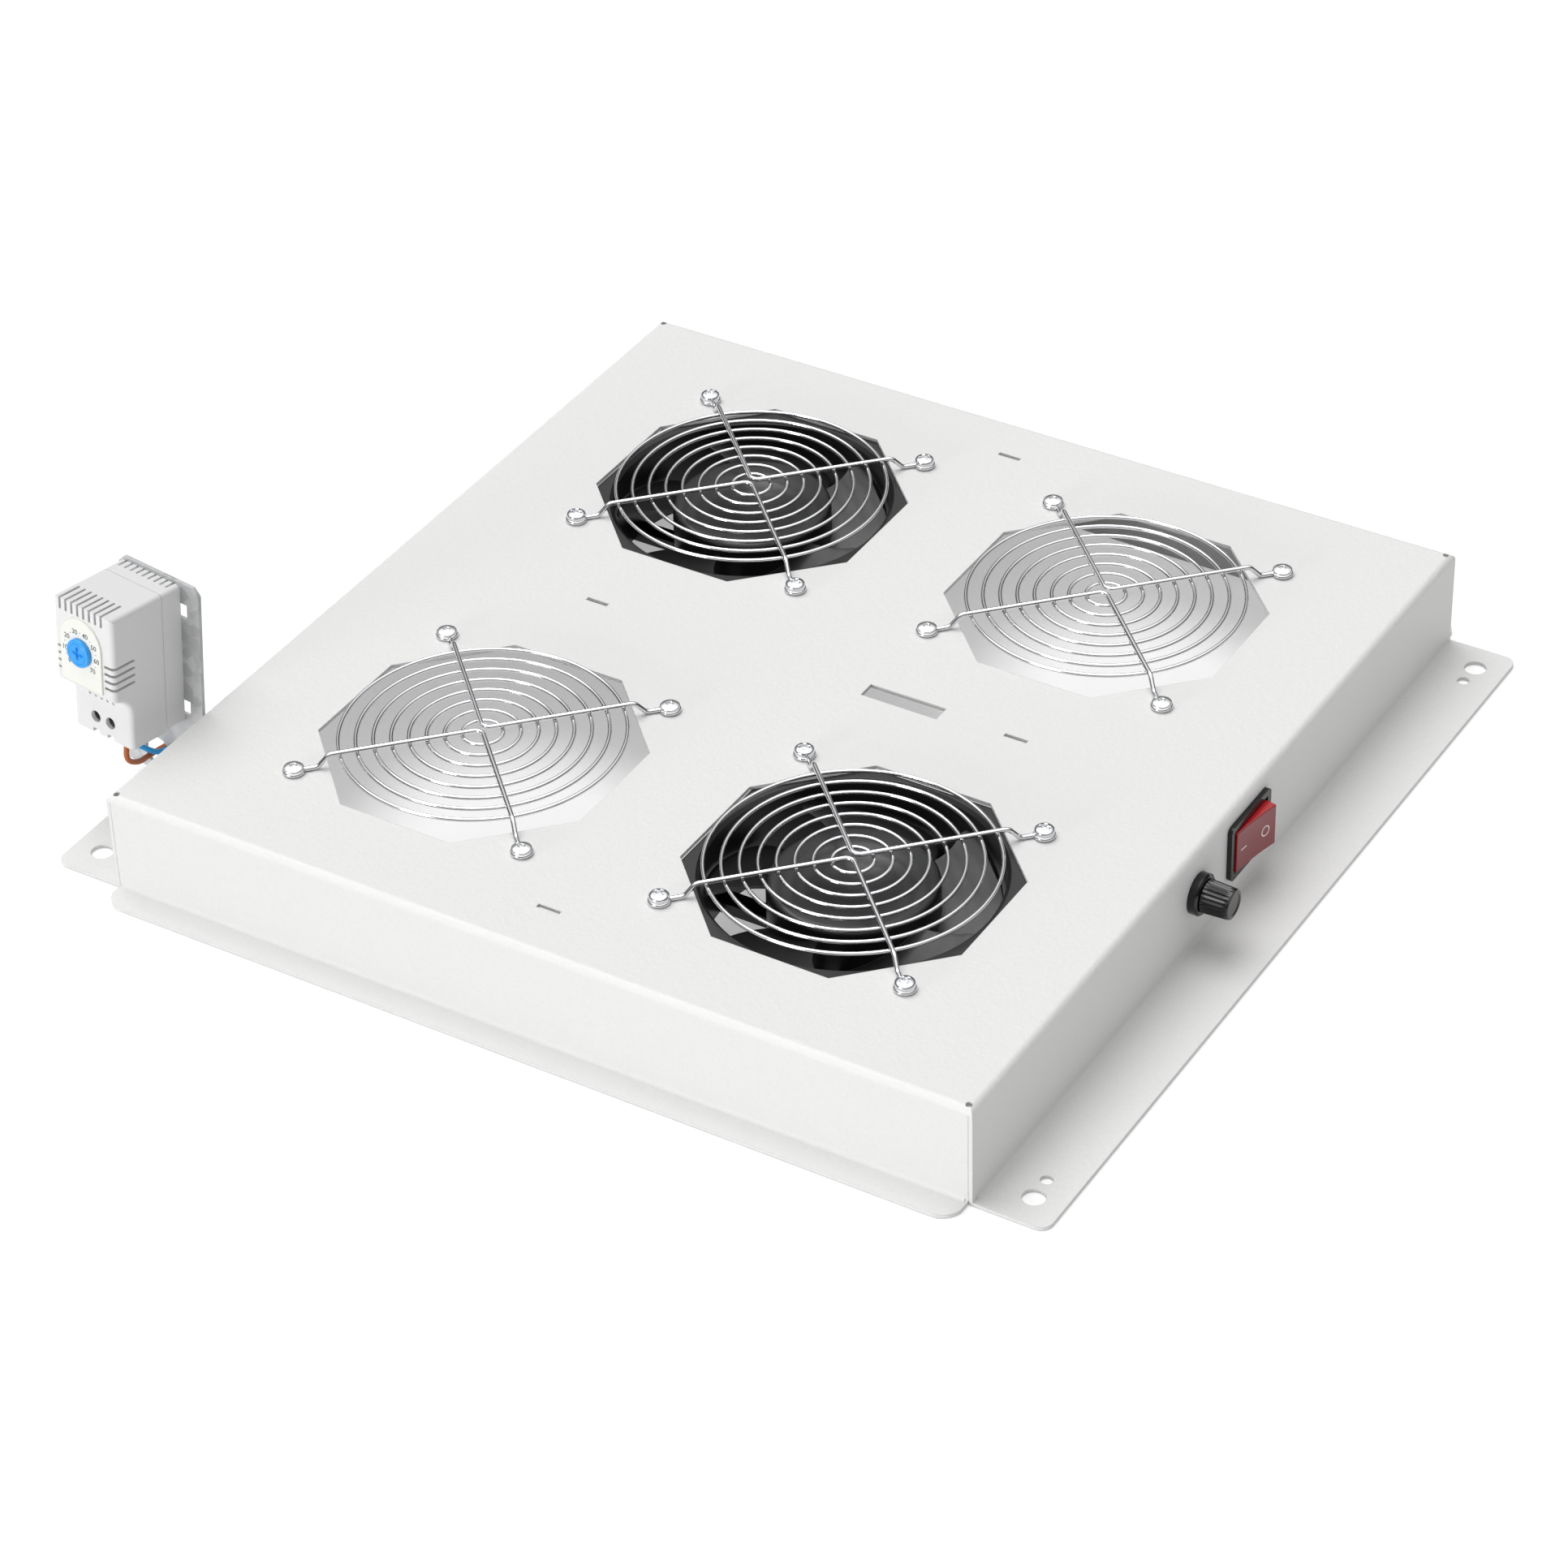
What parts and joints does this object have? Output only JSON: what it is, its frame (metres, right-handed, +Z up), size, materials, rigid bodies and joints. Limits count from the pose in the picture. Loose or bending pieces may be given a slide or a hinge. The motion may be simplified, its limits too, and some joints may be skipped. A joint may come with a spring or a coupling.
{
  "type": "rack fan tray",
  "caption": "Inverted sheet-metal cabinet-roof tray with cooling fans under wire guards, spare guarded bays, a lit rocker switch, a fuse holder and a dial thermostat.",
  "frame": {"origin": "centre of the four large flange holes, on the underside of the flanges", "axes": "+Z up out of the tray's top; +X towards the wall with the switch and fuse; -Y towards the front wall"},
  "size_m": [0.4572, 0.424, 0.0995],
  "materials": {
    "powder_coat": "fine textured powder coat",
    "bright_wire": "bright plated wire",
    "black_casting": "black painted casting",
    "black_moulding": "satin moulding",
    "rotor_steel": "turned steel",
    "lamination_steel": "stacked sheet",
    "copper_winding": "enamelled copper wire",
    "zinc_plate": "zinc plated",
    "rivet_aluminium": "plain",
    "black_gloss": "glossy moulding",
    "red_rocker": "translucent red moulding",
    "lamp_glass": "neon lamp",
    "brass_tag": "plain",
    "clear_glass": "clear tube",
    "plated_cap": "nickel plated",
    "grey_shell": "fine satin moulding",
    "ivory_moulding": "satin moulding",
    "blue_dial": "satin moulding",
    "galvanised": "zinc coated sheet",
    "brown_insulation": "smooth insulation",
    "blue_insulation": "smooth insulation",
    "grey_sheath": "smooth sheath",
    "black_rubber": "plain",
    "natural_nylon": "translucent moulding"
  },
  "bodies": {
    "tray": {"bracket_nuts": "zinc_plate", "bracket_screws": "zinc_plate", "cable_grommet": "black_rubber", "core_blue": "blue_insulation", "core_brown": "brown_insulation", "fan_bearings_back_left": "rotor_steel", "fan_bearings_front_right": "rotor_steel", "fan_frame_back_left": "black_casting", "fan_frame_front_right": "black_casting", "fan_nuts": "zinc_plate", "fuse_body": "black_gloss", "fuse_contact": "brass_tag", "fuse_nut": "black_gloss", "fuse_tags": "brass_tag", "guard_back_left": "bright_wire", "guard_back_right": "bright_wire", "guard_front_left": "bright_wire", "guard_front_right": "bright_wire", "guard_rivets": "rivet_aluminium", "guard_screws": "zinc_plate", "mains_grommet": "black_rubber", "scale_plate": "ivory_moulding", "stator_back_left": "lamination_steel", "stator_coils_back_left": "copper_winding", "stator_coils_front_right": "copper_winding", "stator_front_right": "lamination_steel", "switch_housing": "black_gloss", "switch_terminals": "brass_tag", "terminal_block": "natural_nylon", "terminal_screws": "zinc_plate", "thermostat_base": "grey_shell", "thermostat_bimetal": "brass_tag", "thermostat_bracket": "galvanised", "thermostat_cable": "grey_sheath", "thermostat_cover": "grey_shell", "thermostat_screws": "zinc_plate", "thermostat_switch": "ivory_moulding", "thermostat_terminals": "brass_tag", "tray_shell": "powder_coat"},
    "fan_rotor_back_left": {"impeller_back_left": "black_moulding", "rotor_ring_back_left": "rotor_steel", "fan_shaft_back_left": "rotor_steel"},
    "fan_rotor_front_right": {"impeller_front_right": "black_moulding", "rotor_ring_front_right": "rotor_steel", "fan_shaft_front_right": "rotor_steel"},
    "rocker": {"switch_rocker": "red_rocker", "switch_lamp": "lamp_glass"},
    "fuse_link": {"fuse_glass": "clear_glass", "fuse_end_caps": "plated_cap"},
    "fuse_cap_turn": {"fuse_cap": "black_gloss"},
    "dial": {"thermostat_dial": "blue_dial"}
  },
  "joints": [
    {"name": "fan_spin_back_left", "type": "hinge", "parent": "tray", "child": "fan_rotor_back_left", "pos_m": [-0.083, 0.1, 0.0265], "axis": [0, 0, 1], "continuous": true},
    {"name": "fan_spin_front_right", "type": "hinge", "parent": "tray", "child": "fan_rotor_front_right", "pos_m": [0.083, -0.1, 0.0265], "axis": [0, 0, 1], "continuous": true},
    {"name": "rocker_tilt", "type": "hinge", "parent": "tray", "child": "rocker", "pos_m": [0.188, 0.0137, 0.025], "axis": [0, 0, 1], "range_deg": [0, 20]},
    {"name": "fuse_draw", "type": "slide", "parent": "tray", "child": "fuse_link", "axis": [1, 0, 0], "range_m": [0, 0.032]},
    {"name": "fuse_cap_turn", "type": "hinge", "parent": "fuse_link", "child": "fuse_cap_turn", "pos_m": [0.195, -0.0275, 0.0244], "axis": [1, 0, 0], "range_deg": [-90, 0]},
    {"name": "dial_turn", "type": "hinge", "parent": "tray", "child": "dial", "pos_m": [-0.21728, -0.12974, 0.07634], "axis": [0.1386, 0.9865, -0.0872], "range_deg": [-19, 251]}
  ]
}
